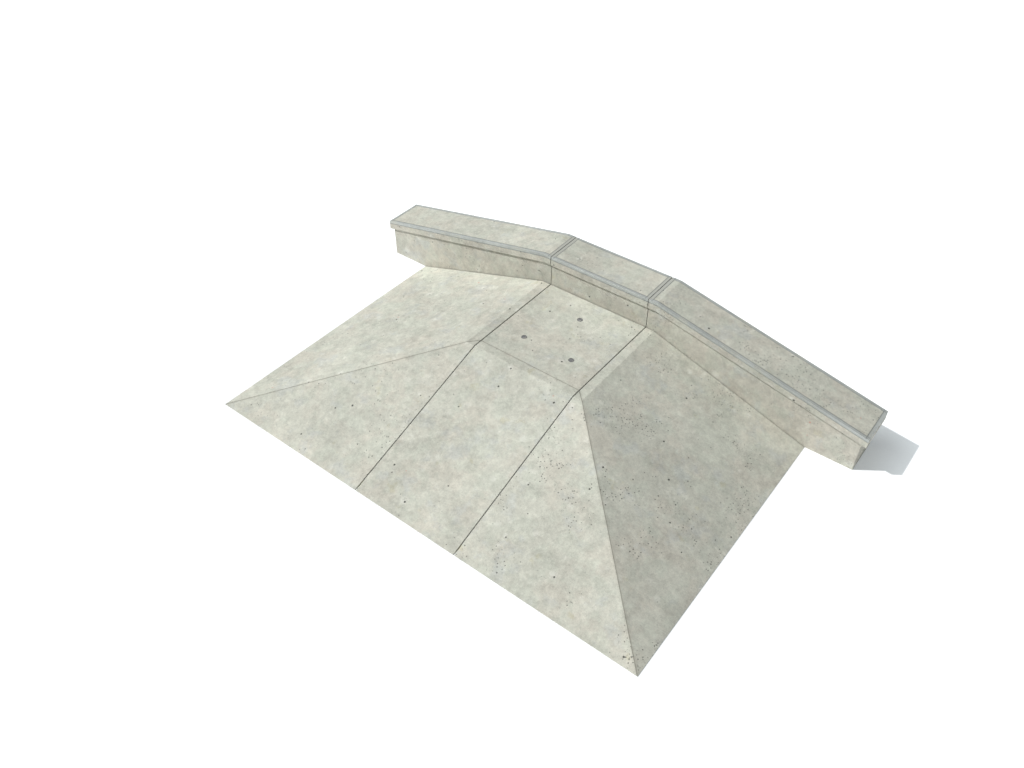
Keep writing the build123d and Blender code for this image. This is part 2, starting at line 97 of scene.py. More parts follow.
# %% Places that the pieces share
ANGLE_LEG = 0.030
CAP_THICKNESS = 0.105

bank_low, bank_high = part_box("bank_block_centre")
side_low, side_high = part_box("bank_block_right")
ledge_low, ledge_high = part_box("ledge_block_centre")
end_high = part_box("ledge_block_right")[1]
end_high_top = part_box("outer_end_angle_right")[0].z + ANGLE_LEG
BLOCKS = frame["joints"][0]["parent"]
deck_z = bank_high.z
joint_x = (bank_high.x + side_low.x) / 2
print("deck", round(deck_z, 3), "joint plane", round(joint_x, 3), "ledge top", round(ledge_high.z, 3))

# %% [markdown]
# ## Camera
# The viewpoint stands high in front of the right-hand corner. It is given as an azimuth, an
# elevation and a distance round a point close to the middle of the piece, because those three can
# be changed one at a time without losing the object.

# %% Camera
AZIMUTH = math.radians(37.746)
ELEVATION = math.radians(42.870)
CAMERA_DISTANCE = 8.8769
CAMERA_AIM = centre + Vector((-0.1402, 0.0196, -0.17))
FOCAL_LENGTH = 31.21

away = Vector((
    math.sin(AZIMUTH) * math.cos(ELEVATION), -math.cos(AZIMUTH) * math.cos(ELEVATION), math.sin(ELEVATION)))
camera = bpy.data.objects.new("camera", bpy.data.cameras.new("camera"))
camera.data.lens = FOCAL_LENGTH
camera.location = CAMERA_AIM + away * CAMERA_DISTANCE
camera.rotation_euler = (-away).to_track_quat("-Z", "Y").to_euler()
bpy.context.scene.collection.objects.link(camera)
bpy.context.scene.camera = camera
print("camera at", [round(v, 3) for v in camera.location])

# %% [markdown]
# ## Light
# One strong lamp a long way off gives the crisp shadow edges, and a pale sky fills the shaded
# sides. The sky is shown white behind the floor but lights the piece only softly, so the concrete
# keeps its contrast. The plain "Standard" view keeps the greys as they are mixed.

# %% Light
SUN_TRAVEL = Vector((0.567, 0.396, -0.722))
SUN_STRENGTH = 3.55
SUN_SPREAD = math.radians(1.2)
SKY_TINT = (0.94, 0.98, 1.0, 1.0)
SKY_STRENGTH = 0.17
SKY_SHOWN = 1.0

sun = bpy.data.objects.new("key_lamp", bpy.data.lights.new("key_lamp", "SUN"))
sun.data.energy = SUN_STRENGTH
sun.data.angle = SUN_SPREAD
sun.rotation_euler = SUN_TRAVEL.to_track_quat("-Z", "Y").to_euler()
sun.location = centre - SUN_TRAVEL * 10
bpy.context.scene.collection.objects.link(sun)

bpy.context.scene.view_settings.view_transform = "Standard"
print("lamp", SUN_STRENGTH, "sky", SKY_STRENGTH)

# %% [markdown]
# ## Helpers for nodes
# Materials are written as short formulas. One helper adds a node and fills its inputs with numbers
# or wires, and four more say the things that come up all the time: arithmetic, a soft threshold, a
# colour mix and the start of a reusable group.

# %% Node helpers
def put(tree, kind, sockets=None, **settings):
    """Add one node, set its settings, and fill its inputs with numbers or wires."""
    node = tree.nodes.new(kind)
    for name, value in settings.items():
        setattr(node, name, value)
    for name, value in (sockets or {}).items():
        if isinstance(value, bpy.types.NodeSocket):
            tree.links.new(value, node.inputs[name])
        else:
            node.inputs[name].default_value = value
    return node


def maths(tree, operation, *values):
    """One step of arithmetic on numbers or wires."""
    return put(tree, "ShaderNodeMath", dict(enumerate(values)), operation=operation).outputs[0]


def fade(tree, value, low, high):
    """0 below low, 1 above high, and a smooth step between them. Swapped limits fade the other way."""
    sockets = {"Value": value, "From Min": low, "From Max": high}
    return put(tree, "ShaderNodeMapRange", sockets, interpolation_type="SMOOTHSTEP").outputs["Result"]


def mix(tree, factor, first, second, way="MIX"):
    """Blend two colours by a factor from 0 to 1."""
    node = put(tree, "ShaderNodeMix", {0: factor, 6: first, 7: second}, data_type="RGBA", blend_type=way)
    return node.outputs[2]


def group(name, inputs, outputs):
    """Start a node group. Returns its tree, its incoming wires and its outgoing sockets."""
    tree = bpy.data.node_groups.new(name, "ShaderNodeTree")
    for label, kind, value in inputs:
        socket = tree.interface.new_socket(label, in_out="INPUT", socket_type="NodeSocket" + kind)
        if value is not None:
            socket.default_value = value
    for label, kind in outputs:
        tree.interface.new_socket(label, in_out="OUTPUT", socket_type="NodeSocket" + kind)
    return tree, tree.nodes.new("NodeGroupInput").outputs, tree.nodes.new("NodeGroupOutput").inputs


def use(tree, effect, **sockets):
    """Place a node group in a tree. Underscores in a name stand for spaces."""
    node = tree.nodes.new("ShaderNodeGroup")
    node.node_tree = effect
    for name, value in sockets.items():
        target = node.inputs[name.replace("_", " ")]
        if isinstance(value, bpy.types.NodeSocket):
            tree.links.new(value, target)
        else:
            target.default_value = value
    return node.outputs


print("node helpers ready")

# %% [markdown]
# ## Clouds
# Concrete never dries to one tone. Water and fines rise unevenly while it is worked, and the skin
# is left with soft clouds inside clouds, from a metre down to a few millimetres, all about equally
# strong. Fractal noise with a high roughness gives that in one node. A painted or scanned map
# would do it too, but it would need a file and would show its tiling.

# %% Node group: clouds
clouds, told, given = group(
    "clouds", [("Vector", "Vector", None), ("Size", "Float", 1.0), ("Roughness", "Float", 0.8)],
    [("Tone", "Float")])
noise = put(clouds, "ShaderNodeTexNoise", {
    "Vector": told["Vector"], "Scale": maths(clouds, "DIVIDE", 1.0, told["Size"]), "Detail": 9.0,
    "Roughness": told["Roughness"]})
clouds.links.new(maths(clouds, "SUBTRACT", noise.outputs[0], 0.5), given["Tone"])
print("clouds: tone round 0, about -0.2 to 0.2")

# %% [markdown]
# ## Scattered spots
# Air holes, stones that show and coloured flecks are all the same thing to a shader: small round
# marks in random places. A Voronoi texture has one random point in each cell. The cell's own
# random colour decides whether that point carries a mark and how big it is, so one group serves
# for rare flecks and for dense pinholes.

# %% Node group: scattered spots
spots, told, given = group(
    "scattered_spots",
    [("Vector", "Vector", None), ("Spacing", "Float", 0.1), ("Share", "Float", 0.5),
     ("Radius", "Float", 0.006), ("Softness", "Float", 0.3), ("Wobble", "Float", 0.004)],
    [("Spot", "Float")])
ripple = put(spots, "ShaderNodeTexNoise", {"Vector": told["Vector"], "Scale": 90.0, "Detail": 1.0})
MIDDLE = (0.5, 0.5, 0.5)
shift = put(spots, "ShaderNodeVectorMath", {0: ripple.outputs["Color"], 1: MIDDLE}, operation="SUBTRACT")
pushed = put(spots, "ShaderNodeVectorMath", {0: shift.outputs[0], 3: told["Wobble"]}, operation="SCALE")
place = put(spots, "ShaderNodeVectorMath", {0: told["Vector"], 1: pushed.outputs[0]}, operation="ADD")
cells = put(spots, "ShaderNodeTexVoronoi", {
    "Vector": place.outputs[0], "Scale": maths(spots, "DIVIDE", 1.0, told["Spacing"])})
distance = maths(spots, "MULTIPLY", cells.outputs["Distance"], told["Spacing"])
lot = put(spots, "ShaderNodeSeparateColor", {"Color": cells.outputs["Color"]})
reach = maths(spots, "MULTIPLY", told["Radius"], maths(spots, "ADD", lot.outputs["Green"], 0.5))
core = maths(spots, "MULTIPLY", reach, maths(spots, "SUBTRACT", 1.0, told["Softness"]))
chosen = maths(spots, "LESS_THAN", lot.outputs["Red"], told["Share"])
spots.links.new(maths(spots, "MULTIPLY", fade(spots, distance, reach, core), chosen), given["Spot"])
print("scattered spots: a mask of round marks")

# %% [markdown]
# ## Stains
# Oil, rust water and leaf mould leave blotches with an edge, unlike the clouds. A low noise is cut
# at a threshold, and a finer noise eats into its border so that it doesn't look drawn.

# %% Node group: stains
stains, told, given = group(
    "stains",
    [("Vector", "Vector", None), ("Size", "Float", 0.3), ("Level", "Float", 0.6), ("Edge", "Float", 0.08)],
    [("Stain", "Float")])
broad = put(stains, "ShaderNodeTexNoise", {
    "Vector": told["Vector"], "Scale": maths(stains, "DIVIDE", 1.0, told["Size"]), "Detail": 5.0,
    "Roughness": 0.62})
edge_end = maths(stains, "ADD", told["Level"], told["Edge"])
stains.links.new(fade(stains, broad.outputs[0], told["Level"], edge_end), given["Stain"])
print("stains: blotches with eaten edges")

# %% [markdown]
# ## Trowel lines and scratches
# Thin curved lines come from trowels, brushes and boards. They are the contour lines of a slow,
# twisted noise: wherever the noise passes one value, a hair line is drawn. A second noise keeps
# the lines to a few patches.

# %% Node group: hair lines
hairlines, told, given = group(
    "hair_lines",
    [("Vector", "Vector", None), ("Size", "Float", 0.2), ("Width", "Float", 0.004),
     ("Level", "Float", 0.55)],
    [("Line", "Float")])
bent = put(hairlines, "ShaderNodeTexNoise", {
    "Vector": told["Vector"], "Scale": maths(hairlines, "DIVIDE", 1.0, told["Size"]), "Detail": 1.5,
    "Distortion": 1.2})
beside = maths(hairlines, "ABSOLUTE", maths(hairlines, "SUBTRACT", bent.outputs[0], 0.5))
line = fade(hairlines, beside, told["Width"], 0.0)
where = put(hairlines, "ShaderNodeTexNoise", {
    "Vector": told["Vector"], "Scale": maths(hairlines, "DIVIDE", 0.7, told["Size"]), "Detail": 3.0})
patch = fade(hairlines, where.outputs[0], told["Level"], maths(hairlines, "ADD", told["Level"], 0.12))
hairlines.links.new(maths(hairlines, "MULTIPLY", line, patch), given["Line"])
print("hair lines: thin curved marks in patches")

# %% [markdown]
# ## Worn edges
# Wheels and shoes rub the corners first. Cycles can round a surface's normal near its edges
# without touching the mesh. Where that rounded normal turns away from the true one there is an
# edge, and some noise breaks the band up.

# %% Node group: worn edges
worn_edges, told, given = group(
    "worn_edges", [("Vector", "Vector", None), ("Reach", "Float", 0.006), ("Breakup", "Float", 40.0)],
    [("Wear", "Float")])
rounded = put(worn_edges, "ShaderNodeBevel", {"Radius": told["Reach"]}, samples=4)
true_normal = put(worn_edges, "ShaderNodeNewGeometry")
sockets = {0: rounded.outputs[0], 1: true_normal.outputs["True Normal"]}
turned = put(worn_edges, "ShaderNodeVectorMath", sockets, operation="DOT_PRODUCT")
bare = maths(worn_edges, "SUBTRACT", 1.0, turned.outputs["Value"])
sockets = {"Vector": told["Vector"], "Scale": told["Breakup"], "Detail": 4.0}
crumbs = put(worn_edges, "ShaderNodeTexNoise", sockets)
broken = maths(worn_edges, "MULTIPLY", bare, maths(worn_edges, "MULTIPLY", crumbs.outputs[0], 2.0))
worn_edges.links.new(fade(worn_edges, broken, 0.02, 0.16), given["Wear"])
print("worn edges: a broken band along every edge")

# %% [markdown]
# ## Cast concrete
# All the marks come together here, the broad ones first and the small ones over them: the cement's own
# tone, stains and trowel lines, then the clouds, then the pale smears where paste was dragged over an air
# hole, and last the stones, flecks and holes. The holes are painted near-black, a painted shade for their
# hollows. The sides of a mould are warmer than the trowelled top, and the upright faces are also painted a
# little darker and warmer, as painted shade and light bounced off the ground. So the group is told how
# upright the face is. It gives a colour, a roughness and a height.

# %% Node group: cast concrete
CEMENT = (0.566, 0.568, 0.492, 1.0)
# Upright faces: partly the mould's own warmer skin, partly a painted darker, warmer shade that stands for
# light bounced off the ground.
MOULD_FACE_AND_WARM_SHADE = (0.536, 0.518, 0.449, 1.0)
BEIGE = (0.580, 0.540, 0.462, 1.0)
LICHEN_GREY = (0.525, 0.560, 0.478, 1.0)
BLUE_GREY = (0.500, 0.522, 0.500, 1.0)
PALE_PASTE = (0.690, 0.685, 0.610, 1.0)
LIME_PASTE = (0.780, 0.780, 0.710, 1.0)
OLIVE = (0.480, 0.455, 0.310, 1.0)
# The colour of the painted shade inside air holes and slots.
HOLE_SHADE = (0.075, 0.080, 0.070, 1.0)
STONE_DARK = (0.330, 0.335, 0.305, 1.0)
BRICK_FLECK = (0.600, 0.290, 0.230, 1.0)

concrete_skin, told, given = group(
    "cast_concrete", [("Vector", "Vector", None), ("Upright", "Float", 0.0), ("Pinholes", "Float", 0.0)],
    [("Color", "Color"), ("Roughness", "Float"), ("Height", "Float")])
t, here = concrete_skin, told["Vector"]


def moved(offset):
    """The same place, read from another part of the patterns."""
    return put(t, "ShaderNodeVectorMath", {0: here, 1: offset}, operation="ADD").outputs[0]


# Each stain: where its pattern is read, its size, level and edge, its strength and its colour.
STAIN_LAYERS = (
    ((3.1, 0.7, 0.0), 0.35, 0.45, 0.16, 0.42, BEIGE),
    ((6.1, 2.7, 5.0), 0.22, 0.47, 0.12, 0.36, LICHEN_GREY),
    ((0.0, 5.3, 1.9), 0.26, 0.54, 0.12, 0.45, BLUE_GREY),
    ((7.7, 1.3, 0.4), 0.22, 0.635, 0.07, 0.40, OLIVE),
    ((2.2, 9.1, 3.0), 0.13, 0.60, 0.10, 0.45, PALE_PASTE),
)
# Upright faces take the darker, warmer tone: mould skin and painted shade together.
base = mix(t, told["Upright"], CEMENT, MOULD_FACE_AND_WARM_SHADE)
for offset, width, level, edge, strength, stain_colour in STAIN_LAYERS:
    stain = use(t, stains, Vector=moved(offset), Size=width, Level=level, Edge=edge)["Stain"]
    base = mix(t, maths(t, "MULTIPLY", stain, strength), base, stain_colour)
lines = use(t, hairlines, Vector=here, Size=0.55, Width=0.014, Level=0.54)["Line"]
base = mix(t, maths(t, "MULTIPLY", lines, 0.34), base, PALE_PASTE)
print("concrete: stains and trowel lines laid")

# %% Node group: cast concrete, its clouds, holes and height
HOLE_SPACING = 0.115

tone = use(t, clouds, Vector=here, Size=0.9, Roughness=0.84)["Tone"]
mottle = use(t, clouds, Vector=moved((4.0, 4.0, 2.0)), Size=0.11, Roughness=0.97)["Tone"]
brightness = maths(t, "MULTIPLY_ADD", tone, 0.98, maths(t, "MULTIPLY_ADD", mottle, 1.80, 1.0))
base = put(t, "ShaderNodeVectorMath", {0: base, 3: brightness}, operation="SCALE").outputs[0]

drag = moved((0.018, -0.012, 0.004))
smear = use(t, spots, Vector=drag, Spacing=HOLE_SPACING, Share=0.14, Radius=0.042, Softness=0.8,
            Wobble=0.030)["Spot"]
torn = fade(t, mottle, -0.16, 0.14)
base = mix(t, maths(t, "MULTIPLY", smear, maths(t, "MULTIPLY", torn, 0.70)), base, LIME_PASTE)
crowd = use(t, stains, Vector=moved((1.0, 4.4, 8.0)), Size=0.50, Level=0.51, Edge=0.10)["Stain"]
dense = maths(t, "MULTIPLY", crowd, maths(t, "ADD", told["Pinholes"], 0.10))
pinholes = use(t, spots, Vector=moved((0.3, 0.2, 0.9)), Spacing=0.023, Share=dense, Radius=0.0056,
               Softness=0.4)["Spot"]
stones = use(t, spots, Vector=moved((0.7, 0.1, 0.5)), Spacing=0.050, Share=0.45, Radius=0.0060,
             Softness=0.6)["Spot"]
round_holes = use(t, spots, Vector=here, Spacing=HOLE_SPACING, Share=0.42, Radius=0.0092,
                  Softness=0.4)["Spot"]
slanted = put(t, "ShaderNodeMapping", {0: here, 2: (0.0, 0.0, 0.6), 3: (0.32, 1.0, 1.0)}).outputs[0]
slots = use(t, spots, Vector=slanted, Spacing=0.14, Share=0.40, Radius=0.0060, Softness=0.5)["Spot"]
holes = maths(t, "MAXIMUM", round_holes, maths(t, "MULTIPLY", slots, 0.7))
flecks = use(t, spots, Vector=moved((5.0, 2.0, 1.0)), Spacing=0.30, Share=0.70, Radius=0.0140,
             Softness=0.7)["Spot"]
base = mix(t, maths(t, "MULTIPLY", stones, 0.60), base, STONE_DARK)
base = mix(t, maths(t, "MULTIPLY", flecks, 0.85), base, BRICK_FLECK)
# Pinholes, air holes and slots are painted near-black: painted shade inside the hollows.
base = mix(t, maths(t, "MULTIPLY", pinholes, 0.72), base, HOLE_SHADE)
base = mix(t, maths(t, "MULTIPLY", holes, 0.90), base, HOLE_SHADE)
t.links.new(base, given["Color"])

grit = put(t, "ShaderNodeTexNoise", {"Vector": here, "Scale": 420.0, "Detail": 3.0, "Roughness": 0.7})
t.links.new(maths(t, "MULTIPLY_ADD", grit.outputs[0], 0.16, 0.80), given["Roughness"])
pits = maths(t, "ADD", holes, maths(t, "MULTIPLY", pinholes, 0.6))
raised = maths(t, "ADD", maths(t, "MULTIPLY", grit.outputs[0], 0.12), maths(t, "MULTIPLY", tone, 0.5))
t.links.new(maths(t, "SUBTRACT", raised, pits), given["Height"])
print("concrete: clouds, holes, stones and flecks laid")

# %% [markdown]
# ## Dirt and painted shade in the joints
# Water carries dust to the low lines: the scored groove along each hip and across the deck, and the corner
# where the banks meet the ledge. These lines are also painted darker as the shade that falls into a groove
# or corner, so the dark line and its haze are partly dirt and partly painted shade. In plan a hip runs at
# 45 degrees, so the distance from it is a sum of coordinates, and the height of the banks is the lower of
# two planes. The groove's setback and the thickness of the front edge are typed in, and the rest follows
# from the frame, so the dirt and painted shade sit in the groove that the block really has.

# %% Node group: joint dirt and painted shade
SCORE_SETBACK = 0.100
NOSE = 0.005
bank_run = side_high.x - (joint_x + SCORE_SETBACK)
kink_x = joint_x + SCORE_SETBACK
crease_y = bank_low.y + bank_run
rise = (deck_z - NOSE) / bank_run
joint_dirt_and_shade, told, given = group("joint_dirt_and_shade", [("Place", "Vector", None), ("Patterns", "Vector", None)],
                                [("Dirt_and_shade", "Float"), ("Haze_and_shade", "Float")])
t = joint_dirt_and_shade
xyz = put(t, "ShaderNodeSeparateXYZ", {0: told["Place"]}).outputs
across = maths(t, "ABSOLUTE", xyz["X"])
from_hip = maths(t, "SUBTRACT", maths(t, "ADD", across, xyz["Y"]), kink_x + crease_y)
from_hip = maths(t, "MULTIPLY", maths(t, "ABSOLUTE", from_hip), math.sqrt(0.5))
from_score = maths(t, "ABSOLUTE", maths(t, "SUBTRACT", xyz["Y"], crease_y + SCORE_SETBACK))
on_side = maths(t, "GREATER_THAN", across, joint_x)
gap = put(t, "ShaderNodeMix", {0: on_side, 2: from_score, 3: from_hip}, data_type="FLOAT").outputs[0]
bank_top = maths(t, "MULTIPLY_ADD", maths(t, "SUBTRACT", side_high.x, across), rise, NOSE)
above = maths(t, "ABSOLUTE", maths(t, "SUBTRACT", xyz["Z"], maths(t, "MINIMUM", bank_top, deck_z)))
corner = maths(t, "MAXIMUM", above, maths(t, "ABSOLUTE", maths(t, "SUBTRACT", xyz["Y"], bank_high.y)))
gap = maths(t, "MINIMUM", gap, corner)
patchy = use(t, clouds, Vector=told["Patterns"], Size=0.10, Roughness=0.8)["Tone"]
spread = maths(t, "MULTIPLY_ADD", patchy, 0.010, 0.0052)
t.links.new(fade(t, gap, spread, maths(t, "MULTIPLY", spread, 0.5)), given["Dirt_and_shade"])
t.links.new(fade(t, gap, maths(t, "MULTIPLY", spread, 5.0), 0.0), given["Haze_and_shade"])
print("joint dirt: crease at", round(crease_y, 3), "kink at", round(kink_x, 3))

# %% [markdown]
# ## Dirt and painted shade beside the steel
# Each angle's leg ends in a narrow groove, and dust packs into it and stains both sides. The dark line is
# also painted shade for the hollow of the groove. Measured inward from the nearest long face or end, and
# down from the top, a groove is one leg away from the corner. The larger of two distances keeps each line
# on its own face.

# %% Node group: leg dirt and painted shade
GROOVE = 0.003
half_joint = (side_low.x - bank_high.x) / 2
fall = (ledge_high.z - end_high_top) / (end_high.x - kink_x)
toe = ANGLE_LEG + GROOVE / 2
leg_dirt_and_shade, told, given = group("leg_dirt_and_shade", [("Place", "Vector", None), ("Patterns", "Vector", None)],
                              [("Dirt_and_shade", "Float"), ("Haze_and_shade", "Float")])
t = leg_dirt_and_shade
xyz = put(t, "ShaderNodeSeparateXYZ", {0: told["Place"]}).outputs
across = maths(t, "ABSOLUTE", xyz["X"])
drop = maths(t, "MULTIPLY", maths(t, "MAXIMUM", maths(t, "SUBTRACT", across, kink_x), 0.0), fall)
below = maths(t, "SUBTRACT", maths(t, "SUBTRACT", ledge_high.z, drop), xyz["Z"])
middle_y, half_cap = (ledge_low.y + ledge_high.y) / 2, (ledge_high.y - ledge_low.y) / 2
from_face = maths(t, "SUBTRACT", half_cap, maths(t, "ABSOLUTE", maths(t, "SUBTRACT", xyz["Y"], middle_y)))
from_joint = maths(t, "SUBTRACT", maths(t, "ABSOLUTE", maths(t, "SUBTRACT", across, joint_x)), half_joint)
from_end = maths(t, "MINIMUM", from_joint, maths(t, "SUBTRACT", end_high.x, across))
lines_found = []
for inward in (from_face, from_end):
    for near, far in ((inward, below), (below, inward)):
        off_line = maths(t, "ABSOLUTE", maths(t, "SUBTRACT", near, toe))
        lines_found.append(maths(t, "MAXIMUM", off_line, maths(t, "ABSOLUTE", far)))
gap = lines_found[0]
for found in lines_found[1:]:
    gap = maths(t, "MINIMUM", gap, found)
patchy = use(t, clouds, Vector=told["Patterns"], Size=0.16, Roughness=0.8)["Tone"]
spread = maths(t, "MULTIPLY_ADD", patchy, 0.012, 0.0048)
t.links.new(fade(t, gap, spread, maths(t, "MULTIPLY", spread, 0.4)), given["Dirt_and_shade"])
t.links.new(fade(t, gap, maths(t, "MULTIPLY", spread, 3.5), 0.0), given["Haze_and_shade"])
print("leg dirt: ledge falls", round(fall, 4), "to", round(end_high_top, 3))

# %% [markdown]
# ## One batch for each block
# Six blocks are six castings, so no two share a pattern. Each gets a material of its own that
# reads the same concrete from another place and has its own number of pinholes. The upright faces
# are told apart by the direction in which they look.

# %% Concrete materials
def new_material(name):
    """An empty material with a shader in it. Returns the material, its tree and the shader."""
    material = bpy.data.materials.new(name)
    material.use_nodes = True
    return material, material.node_tree, material.node_tree.nodes["Principled BSDF"]


def object_place(tree, offset=(0.0, 0.0, 0.0), turn=(0.0, 0.0, 0.0), stretch=(1.0, 1.0, 1.0)):
    """Object coordinates in metres, moved, turned and stretched by a Mapping node."""
    coordinates = put(tree, "ShaderNodeTexCoord").outputs["Object"]
    sockets = {"Vector": coordinates, "Location": offset, "Rotation": turn, "Scale": stretch}
    return put(tree, "ShaderNodeMapping", sockets).outputs[0]


def relief(tree, shader, height, depth):
    """Turn a height into a bump on the shader's normal. Depth is in metres."""
    bump = put(tree, "ShaderNodeBump", {"Height": height, "Distance": depth, "Strength": 1.0})
    tree.links.new(bump.outputs[0], shader.inputs["Normal"])


# Colour of the dark lines in grooves and corners: partly dirt, partly painted shade.
JOINT_DIRT_AND_SHADE = (0.200, 0.190, 0.155, 1.0)
# Colour of the dark lines beside the steel: partly dust, partly painted shade of the groove.
ZINC_DIRT_AND_SHADE = (0.165, 0.185, 0.195, 1.0)


def lay_dirt_and_shade(tree, effect, place, colour, amounts, dirt_and_shade_colour=JOINT_DIRT_AND_SHADE):
    """Lay a group's haze and then its dark line over a colour. Both are partly dirt and partly painted
    shade.
    """
    dirt_and_shade = use(tree, effect, Place=object_place(tree), Patterns=place)
    colour = mix(tree, maths(tree, "MULTIPLY", dirt_and_shade["Haze_and_shade"], amounts[0]), colour, dirt_and_shade_colour)
    return mix(tree, maths(tree, "MULTIPLY", dirt_and_shade["Dirt_and_shade"], amounts[1]), colour, dirt_and_shade_colour)


def concrete(name, offset, pinhole_share):
    """Cast concrete for one block."""
    material, tree, shader = new_material(name)
    place = object_place(tree, offset)
    facing = put(tree, "ShaderNodeNewGeometry").outputs["Normal"]
    upward = put(tree, "ShaderNodeSeparateXYZ", {0: facing}).outputs["Z"]
    upright = fade(tree, maths(tree, "ABSOLUTE", upward), 0.6, 0.2)
    skin = use(tree, concrete_skin, Vector=place, Upright=upright, Pinholes=pinhole_share)
    wear = use(tree, worn_edges, Vector=place, Reach=0.007)["Wear"]
    colour = mix(tree, maths(tree, "MULTIPLY", wear, 0.35), skin["Color"], PALE_PASTE)
    # Hips, the deck groove and the foot of the ledge wall are darkened: partly dirt, partly painted shade.
    colour = lay_dirt_and_shade(tree, joint_dirt_and_shade, place, colour, (0.14, 0.60))
    # On the ledge, dark lines at the steel's toe: partly dust, partly painted shade of the groove.
    if "ledge" in name:
        colour = lay_dirt_and_shade(tree, leg_dirt_and_shade, place, colour, (0.16, 0.72), ZINC_DIRT_AND_SHADE)
    tree.links.new(colour, shader.inputs["Base Color"])
    tree.links.new(skin["Roughness"], shader.inputs["Roughness"])
    shader.inputs["Specular IOR Level"].default_value = 0.25
    relief(tree, shader, skin["Height"], 0.003)
    return material


def dress(node_names, material):
    """Give CAD nodes one material."""
    for node_name in node_names:
        slots = frame["nodes"][node_name].material_slots
        for material_slot in slots:
            material_slot.material = material


castings = {
    "bank_block_centre": ((0.0, 0.0, 0.0), 0.05), "bank_block_left": ((11.3, 4.1, 2.0), 0.20),
    "bank_block_right": ((5.9, 17.2, 7.0), 0.85), "ledge_block_centre": ((23.0, 6.6, 3.0), 0.03),
    "ledge_block_left": ((31.4, 12.5, 9.0), 0.10), "ledge_block_right": ((8.8, 29.3, 5.0), 0.85),
}
for node_name, (offset, share) in castings.items():
    dress([node_name], concrete(f"concrete_{node_name}", offset, share))
print("concrete:", len(castings), "castings")

# %% [markdown]
# ## Galvanised steel
# The edge angles were dipped in molten zinc. New zinc shows crystals, called spangle; weathered
# zinc goes dull and slightly blue, with white bloom, and it is rubbed bright where boards grind
# over its heel. Voronoi cells give the spangle, clouds the bloom, and the worn-edge group the
# bright line. Cement water from the casting has dried to a film on some of it, most at the joints.
# Old zinc is mostly matt, so it is only partly metallic.

# %% Galvanised steel
ZINC_DULL = (0.480, 0.508, 0.485, 1.0)
ZINC_PALE = (0.565, 0.590, 0.562, 1.0)
ZINC_TARNISH = (0.360, 0.380, 0.365, 1.0)
ZINC_BRIGHT = (0.640, 0.655, 0.650, 1.0)
CEMENT_FILM = (0.545, 0.550, 0.480, 1.0)


def galvanised(name, offset, rubbed, filmed):
    """Weathered zinc. Rubbed says how bright the heel is ground, filmed how much cement has dried on it."""
    material, tree, shader = new_material(name)
    place = object_place(tree, offset)
    crystals = put(tree, "ShaderNodeTexVoronoi", {"Vector": place, "Scale": 160.0})
    facet = put(tree, "ShaderNodeSeparateColor", {"Color": crystals.outputs["Color"]}).outputs["Red"]
    bloom = use(tree, clouds, Vector=place, Size=0.35, Roughness=0.8)["Tone"]
    tarnish = use(tree, stains, Vector=place, Size=0.12, Level=0.50, Edge=0.15)["Stain"]
    wear = use(tree, worn_edges, Vector=place, Reach=0.004, Breakup=25.0)["Wear"]
    streaks = object_place(tree, offset, stretch=(0.35, 1.0, 1.0))
    scored = use(tree, hairlines, Vector=streaks, Size=0.05, Width=0.02, Level=0.40)["Line"]
    colour = mix(tree, maths(tree, "MULTIPLY", facet, 0.5), ZINC_DULL, ZINC_PALE)
    shade = maths(tree, "MULTIPLY_ADD", bloom, 0.9, 1.0)
    colour = put(tree, "ShaderNodeVectorMath", {0: colour, 3: shade}, operation="SCALE").outputs[0]
    colour = mix(tree, maths(tree, "MULTIPLY", tarnish, 0.35), colour, ZINC_TARNISH)
    film = use(tree, stains, Vector=place, Size=0.45, Level=0.62 - 0.35 * filmed, Edge=0.12)["Stain"]
    colour = mix(tree, maths(tree, "MULTIPLY", film, 0.75), colour, CEMENT_FILM)
    # Dark line at the leg's toe: partly dust, partly painted shade of the groove. It is weaker where the
    # cement film covers it.
    colour = lay_dirt_and_shade(tree, leg_dirt_and_shade, place, colour, (0.10, 0.66 * (1 - filmed)), ZINC_DIRT_AND_SHADE)
    bright = maths(tree, "MULTIPLY", wear, rubbed)
    colour = mix(tree, bright, colour, ZINC_BRIGHT)
    tree.links.new(colour, shader.inputs["Base Color"])
    metal = maths(tree, "MULTIPLY_ADD", bright, 0.45, 0.12)
    tree.links.new(metal, shader.inputs["Metallic"])
    rough = maths(tree, "MULTIPLY_ADD", bright, -0.20, 0.52)
    tree.links.new(maths(tree, "MULTIPLY_ADD", tarnish, 0.12, rough), shader.inputs["Roughness"])
    relief(tree, shader, maths(tree, "SUBTRACT", maths(tree, "MULTIPLY", facet, 0.1), scored), 0.0004)
    return material


FILM_AT_JOINTS = 0.9
FILM_ELSEWHERE = 0.25
HEEL_RUBBED = 0.7
angle_names = sorted(name for name in frame["nodes"] if "_angle" in name)
for index, node_name in enumerate(angle_names):
    filmed = FILM_AT_JOINTS if "joint_end" in node_name else FILM_ELSEWHERE
    offset = (1.7 * index, 0.9 * index, 0.0)
    dress([node_name], galvanised(f"zinc_{node_name}", offset, HEEL_RUBBED, filmed))
print("galvanised:", len(angle_names), "angles")

# %% [markdown]
# ## What is cast in
# Bars, studs, sockets, sleeves and foam are inside the concrete, but they are pieces too, and a
# block taken apart shows them. Bars are scaled with mill rust, cast-in steel is bright with a
# little flash rust, foam is beads pressed together, and the sleeves are extruded plastic.

# %% Rust, cast-in steel, foam and sleeves
RUST_DARK = (0.105, 0.042, 0.020, 1.0)
RUST_LIGHT = (0.290, 0.120, 0.050, 1.0)


